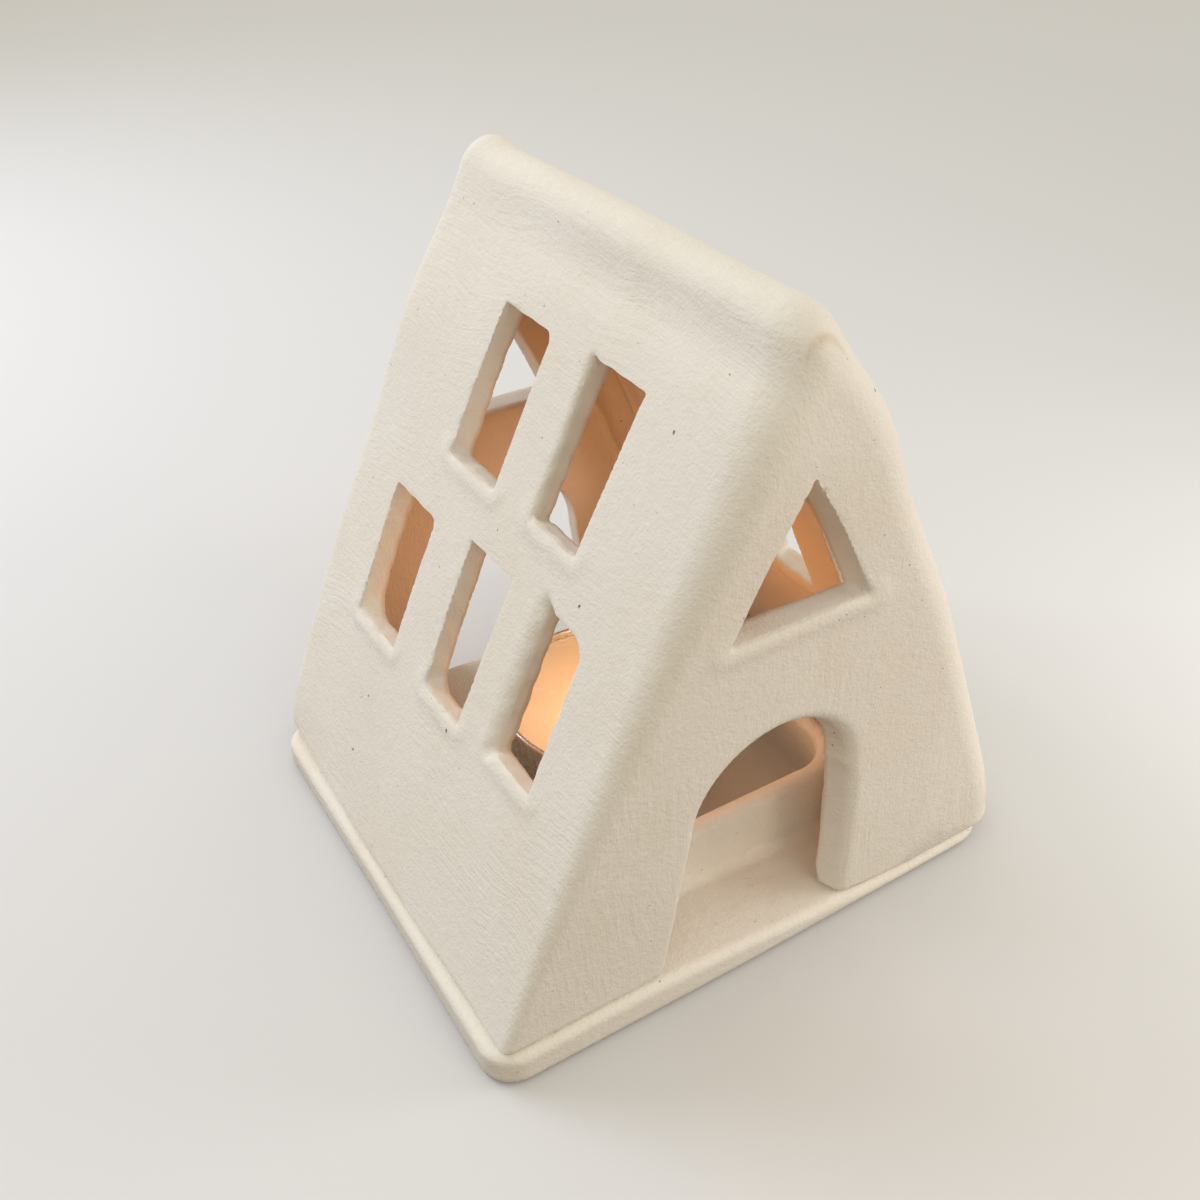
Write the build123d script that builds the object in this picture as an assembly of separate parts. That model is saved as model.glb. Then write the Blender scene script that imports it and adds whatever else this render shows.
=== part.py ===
"""Tealight house: a slab-built clay A-frame house that stands over a tray with a tealight."""

import os
from math import pi, sqrt

from build123d import *

# Clay house, in millimetres, heights counted from its foot
house_width = 94.0
house_depth = 87.0
house_height = 97.0
gable_slab = 4.5
roof_slab = 3.5
slope_radius = 800.0
ridge_radius = 5.35
foot_radius = 1.2
seam_leg = 2.8
ridge_seam_drop = 4.5

# Roof windows, cut square through both roof slabs in two rows by eye:
# place along Y, drop of the head from the top of the slope, width and height
upper_windows = ((7.1, 14.5, 12.7, 23.3), (-15.0, 13.9, 11.7, 23.0))
lower_windows = ((18.1, 47.9, 12.9, 22.7), (-4.4, 46.0, 11.2, 24.2), (-24.0, 45.0, 10.4, 23.1))
window_corner = 0.9

# Gable openings: an arched door and a triangular window in both gables
front_door_radius = 13.4
front_door_gap = 17.0
front_door_offset = -2.9
rear_door_radius = 15.0
rear_door_gap = 14.0
rear_door_offset = 0.7
door_left_spread = 3.9
door_right_spread = 1.3
peak_window_width = 22.0
peak_window_height = 20.2
front_peak_drop = 19.4
rear_peak_drop = 25.8
peak_window_corner = 0.9
peak_window_offset = -1.6

# Base tray: a plate that stops short of the rear gable, with upright strips at three sides of the tealight
base_thickness = 5.2
base_side_overhang = 1.5
base_front_overhang = 1.2
base_rear_inset = 5.0
base_corner = 7.0
base_round = 2.1
curb_height = 11.1
curb_thickness = 3.5
curb_round = 1.4
curb_tealight_gap = 6.0
curb_door_gap = 8.5

# Tealight: cup, wax, wick and the tin foot that holds the wick upright
tealight_diameter = 38.0
tealight_height = 15.5
tealight_offset = -2.0
cup_wall = 0.4
cup_taper = 0.5
cup_rim_radius = 0.5
wax_depth_below_rim = 1.5
sustainer_diameter = 13.0
sustainer_thickness = 0.4
sustainer_neck_diameter = 3.2
sustainer_neck_height = 4.0
wick_diameter = 1.8
wick_above_wax = 6.5

os.makedirs("parts", exist_ok=True)

foot_z = base_thickness
half_width = house_width / 2
half_depth = house_depth / 2
hip_radius = ridge_radius

# Each slope swells out as an arc about a far centre, which starts at the foot and touches the ridge roll
foot_corner = Vector(half_width, 0, 0)
ridge_centre = Vector(0, 0, house_height - ridge_radius)
to_ridge = ridge_centre - foot_corner
along = to_ridge.normalized()
inward = Vector(-along.Z, 0, along.X)
centre_along = ((2 * slope_radius - ridge_radius) * ridge_radius + to_ridge.length**2) / (2 * to_ridge.length)
centre_in = sqrt(slope_radius**2 - centre_along**2)
slope_centre = foot_corner + along * centre_along + inward * centre_in
slope_top = slope_centre + (ridge_centre - slope_centre).normalized() * slope_radius
slope_length = (slope_top - foot_corner).length
slope_up = (slope_top - foot_corner).normalized()
slope_out = Vector(slope_up.Z, 0, -slope_up.X)
inner_radius = slope_radius - roof_slab
inner_apex = slope_centre.Z + sqrt(inner_radius**2 - slope_centre.X**2)
front_peak_sill = house_height - front_peak_drop - peak_window_height
rear_peak_sill = house_height - rear_peak_drop - peak_window_height
front_door_spring = front_peak_sill - front_door_gap - front_door_radius
rear_door_spring = rear_peak_sill - rear_door_gap - rear_door_radius


def slope_x(radius, height):
    """Half width of the house on an arc about the slope's centre, at a height above the foot."""
    return slope_centre.X + sqrt(radius**2 - (height - slope_centre.Z)**2)


inner_foot = slope_x(inner_radius, 0)


def save(part, node):
    """Write one sub-part under its node name."""
    part.label = node
    export_step(part, f"parts/{node}.step")


def slope_arc(radius, top_x, top):
    """The outline of the right slope from the foot to its top, on an arc about the slope's centre."""
    middle = top / 2
    return ThreePointArc(
        (slope_x(radius, 0), foot_z), (slope_x(radius, middle), foot_z + middle), (top_x, foot_z + top))


def mirrored(part):
    """The same piece on the other side of the ridge."""
    return part.mirror(Plane.YZ)


def prism(edges, depth):
    """Extrude a closed X-Z outline equally to the front and the back."""
    outline = make_face(Curve() + edges)
    return extrude(Plane.XZ * outline, depth / 2, both=True)


def tent(depth):
    """The space inside the roof slabs, a prism that ends in the inner ridge line."""
    right = slope_arc(inner_radius, 0, inner_apex)
    foot = Line((-inner_foot, foot_z), (inner_foot, foot_z))
    return prism([right, mirrored(right), foot], depth)


def outer_body():
    """The house as one filled block with its rounded hips, ridge and foot."""
    right = slope_arc(slope_radius, slope_top.X, slope_top.Z)
    top_z = foot_z + slope_top.Z
    ridge = ThreePointArc((slope_top.X, top_z), (0, foot_z + house_height), (-slope_top.X, top_z))
    foot = Line((-half_width, foot_z), (half_width, foot_z))
    block = prism([right, ridge, mirrored(right), foot], house_depth)
    ends = block.faces().sort_by(Axis.Y)
    hips = [edge for end in (ends[0], ends[-1]) for edge in end.edges().sort_by(Axis.Z)[1:]]
    block = fillet(hips, hip_radius)
    return fillet(block.faces().sort_by(Axis.Z)[0].edges(), foot_radius)


def window_cutter(place, head_drop, width, height):
    """A rounded rectangle pushed square through the right roof slab."""
    slope = Plane(origin=(half_width, 0, foot_z), x_dir=(0, 1, 0), z_dir=slope_out)
    middle = slope_length - head_drop - height / 2
    shape = RectangleRounded(width, height, window_corner)
    return extrude(slope * Pos(place, middle) * shape, 3 * roof_slab, both=True)


def right_half():
    """A block that holds everything to the right of the ridge."""
    return Pos(house_width / 2, 0, foot_z + house_height / 2) * Box(
        house_width, 2 * house_depth, 2 * house_height)


def right_roof(block):
    """The right roof slab with its two rows of windows."""
    piece = (block & right_half()) - tent(2 * house_depth)
    for window in upper_windows + lower_windows:
        piece -= window_cutter(*window)
    return piece


def gable(block, side):
    """A gable plate between the roof slabs; side is -1 at the front and 1 at the rear."""
    band = Pos(0, side * (half_depth - gable_slab / 2), foot_z + house_height / 2) * Box(
        2 * house_width, gable_slab, 2 * house_height)
    return (block & band) & tent(2 * house_depth)


def peak_window(sill):
    """The triangular window near the top of a gable."""
    low = foot_z + sill
    half = peak_window_width / 2
    outline = Polyline((-half, low), (half, low), (0, low + peak_window_height), close=True)
    shape = make_face(outline)
    shape = fillet(shape.vertices(), peak_window_corner)
    return Pos(peak_window_offset, 0, 0) * extrude(Plane.XZ * shape, house_depth, both=True)


def door(radius, spring_height):
    """An arched doorway to the front: jambs that spread towards the floor and a half-round head."""
    spring = foot_z + spring_height
    low = foot_z - gable_slab
    reach = (spring - low) / spring_height
    left_foot = -radius - door_left_spread * reach
    right_foot = radius + door_right_spread * reach
    left = Line((left_foot, low), (-radius, spring))
    head = ThreePointArc((-radius, spring), (0, spring + radius), (radius, spring))
    right = Line((radius, spring), (right_foot, low))
    sill = Line((right_foot, low), (left_foot, low))
    outline = make_face(Curve() + [left, head, right, sill])
    return extrude(Plane.XZ * outline, house_depth)


def front_right_seam():
    """A coil pressed flat into the corner between the front gable and the right roof slab."""
    axis_point = slope_centre + Vector(0, 0, foot_z)
    turn = slope_length / slope_radius
    level = foot_corner - slope_centre
    outward = level.normalized().rotate(Axis.Y, turn * 180 / pi)
    plane = Plane(origin=axis_point, x_dir=outward, z_dir=Vector(-outward.Z, 0, outward.X))
    corner = -half_depth + gable_slab
    section = make_face(Polyline(
        (inner_radius + seam_leg, corner + 2 * seam_leg), (inner_radius - 2 * seam_leg, corner - seam_leg),
        (inner_radius + seam_leg, corner - seam_leg), close=True))
    coil = revolve(plane * section, Axis(axis_point, (0, -1, 0)), 3 * turn * 180 / pi)
    return coil & right_half() & tent(house_depth - 2 * gable_slab)


def ridge_seam(seams):
    """A coil pressed up into the inner ridge, between the gable seams."""
    low = foot_z + inner_apex - ridge_seam_drop
    top = Pos(0, 0, low + house_height / 2) * Box(house_width, 2 * house_depth, house_height)
    coil = tent(house_depth - 2 * gable_slab) & top
    for seam in seams:
        coil -= seam
    return coil


def base_plate():
    """The plate under the house, with bull-nosed edges; the rear gable stands past its rear edge."""
    width = house_width + 2 * base_side_overhang
    depth = house_depth + base_front_overhang - base_rear_inset
    middle = -(base_front_overhang + base_rear_inset) / 2
    plate = extrude(Pos(0, middle) * RectangleRounded(width, depth, base_corner), base_thickness)
    top = plate.faces().sort_by(Axis.Z)[-1].edges()
    bottom = plate.faces().sort_by(Axis.Z)[0].edges()
    return fillet(top + bottom, base_round)


curb_half = tealight_diameter / 2 + curb_tealight_gap
curb_front_y = -half_depth + gable_slab + curb_door_gap
curb_back_y = curb_front_y + curb_thickness


def strip(length):
    """An upright strip of clay along X with a softened top; its front face lies on the XZ plane."""
    bar = Box(length, curb_thickness, curb_height, align=(Align.CENTER, Align.MIN, Align.MIN))
    top = bar.faces().sort_by(Axis.Z)[-1].edges().filter_by(Axis.X)
    return fillet(top, curb_round)


def curb_front():
    """The strip across the tray behind the front door."""
    return Pos(tealight_offset, curb_front_y, foot_z) * strip(2 * (curb_half + curb_thickness))


def curb_side(outer_x):
    """A strip beside the tealight, from the front strip back to the tealight's rear edge."""
    length = tealight_diameter / 2 - curb_back_y
    return Pos(outer_x, curb_back_y + length / 2, foot_z) * Rot(0, 0, 90) * strip(length)


def turned(points):
    """Revolve an outline, radius against height, about the tealight's own axis."""
    face = Plane.XZ * make_face(Polyline(*points, close=True))
    return Pos(tealight_offset, 0, foot_z) * revolve(face, Axis.Z)


cup_top_radius = tealight_diameter / 2 - cup_rim_radius
cup_floor_radius = cup_top_radius - cup_taper
rim_height = tealight_height - cup_rim_radius
wax_height = rim_height - wax_depth_below_rim
sustainer_top = cup_wall + sustainer_thickness
neck_top = sustainer_top + sustainer_neck_height
wick_radius = wick_diameter / 2
neck_radius = sustainer_neck_diameter / 2


def cup_inside(height):
    """Inner radius of the tapered cup at a height above its underside."""
    return cup_floor_radius + (cup_top_radius - cup_floor_radius) * height / rim_height - cup_wall


def tealight_cup():
    """A thin tapered cup with a rolled rim."""
    wall = turned([
        (0, 0), (cup_floor_radius, 0), (cup_top_radius, rim_height),
        (cup_inside(rim_height), rim_height), (cup_inside(cup_wall), cup_wall), (0, cup_wall)])
    roll = Pos(tealight_offset, 0, foot_z + rim_height) * Torus(cup_top_radius, cup_rim_radius)
    return wall + roll


def wick_sustainer():
    """A tin disc on the cup's floor with a neck that grips the wick."""
    return turned([
        (wick_radius, cup_wall), (sustainer_diameter / 2, cup_wall),
        (sustainer_diameter / 2, sustainer_top), (neck_radius, sustainer_top),
        (neck_radius, neck_top), (wick_radius, neck_top)])


def tealight_wax():
    """The wax fill, moulded round the wick and its foot."""
    return turned([
        (sustainer_diameter / 2, cup_wall), (cup_inside(cup_wall), cup_wall),
        (cup_inside(wax_height), wax_height), (wick_radius, wax_height), (wick_radius, neck_top),
        (neck_radius, neck_top), (neck_radius, sustainer_top), (sustainer_diameter / 2, sustainer_top)])


def tealight_wick():
    """The braided wick from the cup's floor to above the wax."""
    wick_length = wax_height - cup_wall + wick_above_wax
    stem = Cylinder(wick_radius, wick_length, align=(Align.CENTER, Align.CENTER, Align.MIN))
    return Pos(tealight_offset, 0, foot_z + cup_wall) * stem


block = outer_body()
roof = right_roof(block)
front_door = Pos(front_door_offset, 0, 0) * door(front_door_radius, front_door_spring)
rear_door = Pos(rear_door_offset, 0, 0) * Rot(0, 0, 180) * door(rear_door_radius, rear_door_spring)
front_right = front_right_seam()
rear_right = front_right.mirror(Plane.XZ)
gable_seams = {
    "front_right_seam": front_right,
    "front_left_seam": mirrored(front_right),
    "rear_right_seam": rear_right,
    "rear_left_seam": mirrored(rear_right),
}

pieces = {
    "base_plate": base_plate(),
    "curb_front": curb_front(),
    "curb_right": curb_side(tealight_offset + curb_half + curb_thickness),
    "curb_left": curb_side(tealight_offset - curb_half),
    "right_roof_slab": roof,
    "left_roof_slab": mirrored(roof),
    "front_gable": gable(block, -1) - peak_window(front_peak_sill) - front_door,
    "rear_gable": gable(block, 1) - peak_window(rear_peak_sill) - rear_door,
    "ridge_seam": ridge_seam(gable_seams.values()),
    "tealight_cup": tealight_cup(),
    "tealight_wax": tealight_wax(),
    "tealight_wick": tealight_wick(),
    "wick_sustainer": wick_sustainer(),
}
pieces.update(gable_seams)

for node, piece in pieces.items():
    save(piece, node)
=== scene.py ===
"""Clay tealight house: the fired house, its tray, a lit tealight and a plain studio round them."""

import math

import bpy
import numpy as np
from bpy.props import FloatProperty, FloatVectorProperty, PointerProperty
from mathutils import Matrix, Vector


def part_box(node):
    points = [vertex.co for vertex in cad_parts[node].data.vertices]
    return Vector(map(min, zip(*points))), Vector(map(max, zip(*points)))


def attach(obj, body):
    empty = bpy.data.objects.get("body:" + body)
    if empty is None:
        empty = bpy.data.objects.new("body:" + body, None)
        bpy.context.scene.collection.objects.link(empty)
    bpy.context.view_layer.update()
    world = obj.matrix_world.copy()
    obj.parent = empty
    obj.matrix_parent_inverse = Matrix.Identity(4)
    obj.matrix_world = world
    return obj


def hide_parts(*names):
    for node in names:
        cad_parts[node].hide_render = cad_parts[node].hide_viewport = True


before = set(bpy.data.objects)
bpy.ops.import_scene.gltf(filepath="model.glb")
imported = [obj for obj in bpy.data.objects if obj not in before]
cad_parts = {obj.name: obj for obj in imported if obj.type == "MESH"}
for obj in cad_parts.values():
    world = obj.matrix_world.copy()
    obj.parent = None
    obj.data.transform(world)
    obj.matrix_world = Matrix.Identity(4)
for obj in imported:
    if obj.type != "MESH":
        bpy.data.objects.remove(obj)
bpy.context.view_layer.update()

bl_info = {
    "name": "Tealight House",
    "version": (1, 0, 0),
    "blender": (4, 5, 0),
    "location": "View3D > Sidebar > Tealight House",
    "description": "Builds a hand-made clay house, its tray and a burning tealight",
    "category": "Add Mesh",
}

MM = 0.001
HOUSE_NODES = [
    "left_roof_slab", "right_roof_slab", "front_gable", "rear_gable", "ridge_seam",
    "front_left_seam", "front_right_seam", "rear_left_seam", "rear_right_seam",
]
TRAY_NODES = ["base_plate", "curb_front", "curb_left", "curb_right"]


def span(*nodes):
    """Lowest and highest corner of some CAD nodes together, in millimetres."""
    boxes = [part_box(node) for node in nodes]
    low = np.min([np.array(box[0]) for box in boxes], axis=0) / MM
    high = np.max([np.array(box[1]) for box in boxes], axis=0) / MM
    return low, high


# Clay house, in millimetres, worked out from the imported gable, roof and plate:
# each slope leans so that a straight line from its foot touches the ridge roll
GABLE_LOW, GABLE_HIGH = span("front_gable")
HOUSE_TOP = span(*HOUSE_NODES)[1][2]
PLATE_LOW, PLATE_HIGH = span("base_plate")
FOOT = GABLE_LOW[2]
SLAB = GABLE_HIGH[1] - GABLE_LOW[1]
HALF_DEPTH = -GABLE_LOW[1]
PLATE_OVERHANG = 1.5
HALF_WIDTH = PLATE_HIGH[0] - PLATE_OVERHANG
RIDGE = HOUSE_TOP - FOOT
RIDGE_RADIUS = 5.35
RIDGE_NUB = 0.75
NUB_PLACE = 38.0
RIDGE_CENTRE = RIDGE - RIDGE_NUB - RIDGE_RADIUS
LEAN_ANGLE = (math.atan2(HALF_WIDTH, RIDGE_CENTRE)
              - math.asin(RIDGE_RADIUS / math.hypot(HALF_WIDTH, RIDGE_CENTRE)))
SLOPE_X = math.cos(LEAN_ANGLE)
SLOPE_Z = math.sin(LEAN_ANGLE)
ROOF_WALL = 3.5
BULGE_TOP = 88.0
GABLE_PUSH = 1.0
HIP_PUSH = 0.75
LEFT_RISE = 1.0
RIGHT_FALL = 2.1
DIP_PLACE = 98.5
DIP_REACH = 4.0
REAR_SWELL = 1.0
TOP_SWELL = 1.5
WAVES = 5
SLOW_WAVE = 48.0
COIL_WIDTH = 4.5
COIL_WAVER = 1.8
COIL_EDGE = 0.5
INNER_ROUND = 3.0
HOUSE_TRIANGLES = 195000
TRAY_TRIANGLES = 150000
CREASE_ANGLE = 38

# Roof windows: place along Y, sill up the slope, head and foot width, height, and three roundings:
# of the front head corner, of the inner corner at the rear of the sill and of the rear jamb's arris
ROOF_WINDOWS = (
    (7.1, 65.4, 12.6, 12.8, 23.3, 1.6, 1.0, 0.3),
    (-15.0, 66.3, 12.2, 11.2, 23.0, 0.5, 0.6, 1.1),
    (18.1, 32.6, 13.3, 12.6, 22.7, 1.8, 4.0, 0.3),
    (-4.4, 33.0, 11.8, 10.6, 24.2, 0.6, 3.0, 0.4),
    (-24.0, 35.1, 10.1, 10.7, 23.1, 3.2, 0.9, 2.6),
)
CUT_CORNER = 0.4
CUT_ARRIS = 0.12
WIPED_ARRIS = 0.55
WIPED_LIP = 0.25
LIP_PLACE = 1.6
LIP_REACH = 1.2

# Gable openings; each doorway has a middle, a radius and the height that its arch springs from
FRONT_DOOR = (-2.9, 13.4, 27.0)
REAR_DOOR = (0.3, 14.3, 21.0)
DOOR_LEFT_SPREAD = 0.145
DOOR_RIGHT_SPREAD = 1.3
DOOR_ARRIS = 1.7
DOOR_SPLAY = 0.42
DOOR_TOE = 2.0
PEAK_MIDDLE = -1.6
PEAK_FRONT_SILL = 57.4
PEAK_REAR_SILL = 51.0
PEAK_HALF = 11.0
PEAK_HEIGHT = 20.2
PEAK_CORNER = 0.5
PEAK_BOW = 0.5
PEAK_TAPER = 0.3
REAR_FLARE = 0.22

# Tray
PLATE_MIDDLE = (PLATE_LOW + PLATE_HIGH) / 2
PLATE_HALF = (PLATE_HIGH - PLATE_LOW) / 2
STRIP_LOW, STRIP_HIGH = span("curb_front")
SIDE_LOW, SIDE_HIGH = span("curb_right")
STRIP_HALF = (STRIP_HIGH[1] - STRIP_LOW[1]) / 2
STRIP_FRONT = (STRIP_LOW[1] + STRIP_HIGH[1]) / 2
STRIP_MIDDLE = (STRIP_LOW[0] + STRIP_HIGH[0]) / 2
STRIP_SIDE = (SIDE_LOW[0] + SIDE_HIGH[0]) / 2 - STRIP_MIDDLE
STRIP_BEND = 8.0
STRIP_TOP_ROUND = 1.3
STRIP_COVE = 1.8
PLATE_CORNER = 7.5
PLATE_TOP_ROUND = 1.5
PLATE_FOOT_ROUND = 1.7

# Tealight
CUP_LOW, CUP_HIGH = span("tealight_cup")
WAX_LOW, WAX_HIGH = span("tealight_wax")
WICK_LOW, WICK_HIGH = span("tealight_wick")
CUP_AXIS = (CUP_LOW + CUP_HIGH) / 2
FLAME_HEART = 8.0
FLAME_FORWARD = 3.0
FLAME_SOFT = 6.0

# Where the photograph was taken from: millimetres in the row frame, degrees and a 36 mm wide sensor
CAMERA_PLACE = (-86.2, -133.2, 154.6)
CAMERA_AZIMUTH = -31.58
CAMERA_ELEVATION = 36.19
CAMERA_ROLL = -0.41
CAMERA_LENS = 37.04
SENSOR_WIDTH = 36.0

# Stage, in metres: the floor's half width, and each soft light's place and width
FLOOR_HALF = 6.0
KEY_PLACE, KEY_WIDTH = (-0.28, 0.36, 0.32), 0.30
FILL_PLACE, FILL_WIDTH = (0.20, -0.14, 0.08), 0.10
FRONT_PLACE, FRONT_WIDTH = (0.04, -0.30, 0.08), 0.12
LIGHT_AIM = (0, 0, 0.05)


class HouseSettings(bpy.types.PropertyGroup):
    """Sizes and clay colours of the house and its tray, with the colours painted as shade inside the house and in its
    pits.
    """

    grid: FloatProperty(
        name="Skin grid", description="Grid step the clay skin is worked out on", default=0.0006,
        min=0.0003, max=0.002, unit="LENGTH", precision=5)
    hip_radius: FloatProperty(
        name="Hip radius", description="Rounding of the hips at the ridge", default=0.006,
        unit="LENGTH", precision=4)
    hip_foot_radius: FloatProperty(
        name="Hip radius at the foot", description="Rounding of the hips at the foot", default=0.006,
        unit="LENGTH", precision=4)
    crisp_hip_radius: FloatProperty(
        name="Crisp hip radius", description="Rounding of the front left hip at the foot", default=0.0013,
        unit="LENGTH", precision=4)
    bulge: FloatProperty(
        name="Bulge", description="How far the slopes swell out at half height", default=0.0016,
        unit="LENGTH", precision=4)
    foot_radius: FloatProperty(
        name="Foot radius", description="Rounding along the foot of the house", default=0.0011,
        unit="LENGTH", precision=4)
    apex_lean: FloatProperty(
        name="Apex lean", description="How far the front gable leans back at its top", default=0.0034,
        unit="LENGTH", precision=4)
    foot_tuck: FloatProperty(
        name="Foot tuck", description="How far two foot corners are pressed inwards", default=0.0012,
        unit="LENGTH", precision=4)
    ridge_dip: FloatProperty(
        name="Ridge dip", description="Depth of the thumbed hollow below the ridge", default=0.0008,
        unit="LENGTH", precision=4)
    swell: FloatProperty(
        name="Unevenness", description="Height of the slow waves a hand leaves in the slabs", default=0.00035,
        unit="LENGTH", precision=5)
    clay: FloatVectorProperty(
        name="Clay", description="Main colour of the fired clay", subtype="COLOR", size=3,
        default=(0.77, 0.72, 0.63))
    clay_warm: FloatVectorProperty(
        name="Warm clay", description="Warmer patches of the fired clay", subtype="COLOR", size=3,
        default=(0.755, 0.695, 0.595))
    # Painted shade and painted candle light: the inner walls take this darker, warmer colour in place of the dim,
    # candle-lit light inside
    inside_painted_shade: FloatVectorProperty(
        name="Inside painted shade", description="Painted shade and painted candle light on the clay inside the house", subtype="COLOR",
        size=3, default=(0.66, 0.53, 0.40))
    # Painted shade: the dark colour inside the pinholes stands in for the shade in them; the finer specks take it too,
    # as dark specks of the clay
    pit_shade_and_specks: FloatVectorProperty(
        name="Pinholes", description="Painted shade inside the small pits, also darkening the finer specks", subtype="COLOR", size=3,
        default=(0.20, 0.16, 0.12))


class TealightSettings(bpy.types.PropertyGroup):
    """Colours and light of the burning tealight."""

    wax: FloatVectorProperty(
        name="Wax", description="Colour of the paraffin wax", subtype="COLOR", size=3,
        default=(0.90, 0.84, 0.72))
    foil: FloatVectorProperty(
        name="Cup", description="Colour of the pressed cup", subtype="COLOR", size=3,
        default=(0.80, 0.80, 0.79))
    flame: FloatVectorProperty(
        name="Flame light", description="Colour of the candle light", subtype="COLOR", size=3,
        default=(1.0, 0.35, 0.03))
    flame_power: FloatProperty(
        name="Flame power", description="Strength of the candle light in the house", default=0.011,
        unit="POWER", precision=4)


class StageSettings(bpy.types.PropertyGroup):
    """Floor, backdrop and studio lights."""

    floor: FloatVectorProperty(
        name="Floor", description="Colour of the pale floor", subtype="COLOR", size=3,
        default=(0.66, 0.65, 0.64))
    floor_bounce: FloatVectorProperty(
        name="Floor bounce", description="Colour of the floor as the object receives it", subtype="COLOR", size=3,
        default=(0.12, 0.09, 0.07))
    backdrop: FloatVectorProperty(
        name="Backdrop", description="Colour of the backdrop behind the floor", subtype="COLOR", size=3,
        default=(0.72, 0.71, 0.70))
    key: FloatVectorProperty(
        name="Key colour", description="Colour of the soft light at the rear left", subtype="COLOR", size=3,
        default=(0.77, 0.82, 1.0))
    key_power: FloatProperty(
        name="Key light", description="Strength of the soft light at the rear left", default=1.50, unit="POWER")
    fill: FloatVectorProperty(
        name="Fill colour", description="Colour of the low soft light at the front right", subtype="COLOR", size=3,
        default=(0.98, 0.96, 1.0))
    fill_power: FloatProperty(
        name="Fill light", description="Strength of the low soft light at the front right", default=0.19,
        unit="POWER")
    front: FloatVectorProperty(
        name="Front colour", description="Colour of the weak light before the door", subtype="COLOR", size=3,
        default=(1.0, 0.80, 0.62))
    front_power: FloatProperty(
        name="Front light", description="Strength of the weak light before the door", default=0.10, unit="POWER")
    ambient_tint: FloatVectorProperty(
        name="Ambient colour", description="Colour of the even light from all round", subtype="COLOR", size=3,
        default=(1.0, 0.97, 0.87))
    ambient: FloatProperty(
        name="Ambient light", description="Strength of the even light from all round", default=0.88)


def rounded_and(a, b, radius):
    """Common part of two solids given by distance; their edge is a quarter round of that radius."""
    corner = np.hypot(np.maximum(a + radius, 0), np.maximum(b + radius, 0))
    return np.minimum(-radius, np.maximum(a, b)) + corner


def rounded_or(a, b, radius):
    """Union of two solids given by distance; their inner corner is a hollow round of that radius."""
    return -rounded_and(-a, -b, radius)


def rounded_cut(a, b, radius):
    """Solid a without solid b, with the arris of the cut rounded to that radius."""
    return rounded_and(a, -b, radius)


def waves(x, y, z, length, seed):
    """Slow unevenness from -1 to 1: plane waves of about one length added up in seeded directions."""
    rng = np.random.default_rng(seed)
    total = np.zeros_like(x)
    for _ in range(WAVES):
        direction = rng.normal(size=3)
        direction *= 2 * math.pi / (length * rng.uniform(0.7, 1.4) * np.linalg.norm(direction))
        phase = rng.uniform(0, 2 * math.pi)
        total += np.sin(direction[0] * x + direction[1] * y + direction[2] * z + phase)
    return total / WAVES


def slope_places(x, up):
    """Distance outside the nearer roof slope, and distance up that slope from the foot."""
    side = np.abs(x) - HALF_WIDTH
    return side * SLOPE_X + up * SLOPE_Z, up * SLOPE_X - side * SLOPE_Z


def foot_rise(x, y):
    """How far the foot's joint with the tray rises at the front left and falls at the front right, as a soft step."""
    share = np.clip((x + 22) / 48, 0, 1)
    step = share * share * (3 - 2 * share)
    return (LEFT_RISE - (LEFT_RISE + RIGHT_FALL) * step) * np.clip((5 - y) / 40, 0, 1)


def cut_roof_window(clay, window, y, out, run, ragged):
    """Cut one window square through both slopes: crisp head and front jamb, wiped sill and rear jamb.

    The opening is a trapezium with its own corner roundings; the rear sill corner fills up with depth.
    """
    place, sill, head_width, foot_width, height, head_corner, sill_corner, rear_arris = window
    share = np.clip((run - sill) / height, 0, 1)
    half = (foot_width + (head_width - foot_width) * share) / 2
    rear, front = y - place - half, place - half - y
    head, foot = run - sill - height, sill - run
    inward = np.clip(-out / ROOF_WALL, 0, 1)
    filled = CUT_CORNER + (sill_corner - CUT_CORNER) * inward
    corner = np.where(head > foot, np.where(front > rear, head_corner, CUT_CORNER),
                      np.where(rear > front, filled, CUT_CORNER))
    opening = rounded_and(np.maximum(rear, front), np.maximum(head, foot), corner)
    wiped = np.clip(1 + foot / 3, 0, 1)
    torn = 1 + wiped + 1.2 * np.clip(1 + rear / 2.5, 0, 1)
    opening = np.maximum(opening + ragged * torn, -out - 3 * SLAB)
    lip = WIPED_LIP * wiped * np.exp(-((opening - LIP_PLACE) / LIP_REACH) ** 2)
    soft = (rear_arris - CUT_ARRIS) * np.clip(1 + rear / 2.5, 0, 1) * (1 - inward)
    return rounded_cut(clay - lip, opening, CUT_ARRIS + np.maximum((WIPED_ARRIS - CUT_ARRIS) * wiped, soft))


def cut_door(clay, x, y, up, door, side):
    """Cut an arched doorway: a half round on jambs that spread towards the floor.

    The side is -1 at the front and 1 at the rear, where the same outline is turned half round.
    The right jamb of the front one is splayed, so that the doorway narrows inwards, and the jambs' feet
    are rounder.
    """
    middle, radius, spring = door
    across = side * (middle - x)
    arch = np.hypot(across, np.maximum(up - spring, 0)) - radius
    drop = np.maximum(spring - up, 0)
    spread = np.where(across < 0, DOOR_LEFT_SPREAD * drop, DOOR_RIGHT_SPREAD * (1 - np.exp(-drop / 5)))
    depth = HALF_DEPTH - side * y
    splay = DOOR_SPLAY * np.clip(depth, 0, SLAB) * np.clip(across / radius, 0, 1) * (side < 0)
    opening = np.maximum(arch - spread + splay, depth - 2 * SLAB)
    inward = np.clip(depth / SLAB, 0, 1)
    arris = CUT_ARRIS + (DOOR_ARRIS - CUT_ARRIS) * (1 - inward)
    toe = DOOR_TOE * np.clip(1.2 - (up - foot_rise(x, y)) / 4, 0, 1)
    return rounded_cut(clay, opening, np.maximum(arris, toe))


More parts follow.
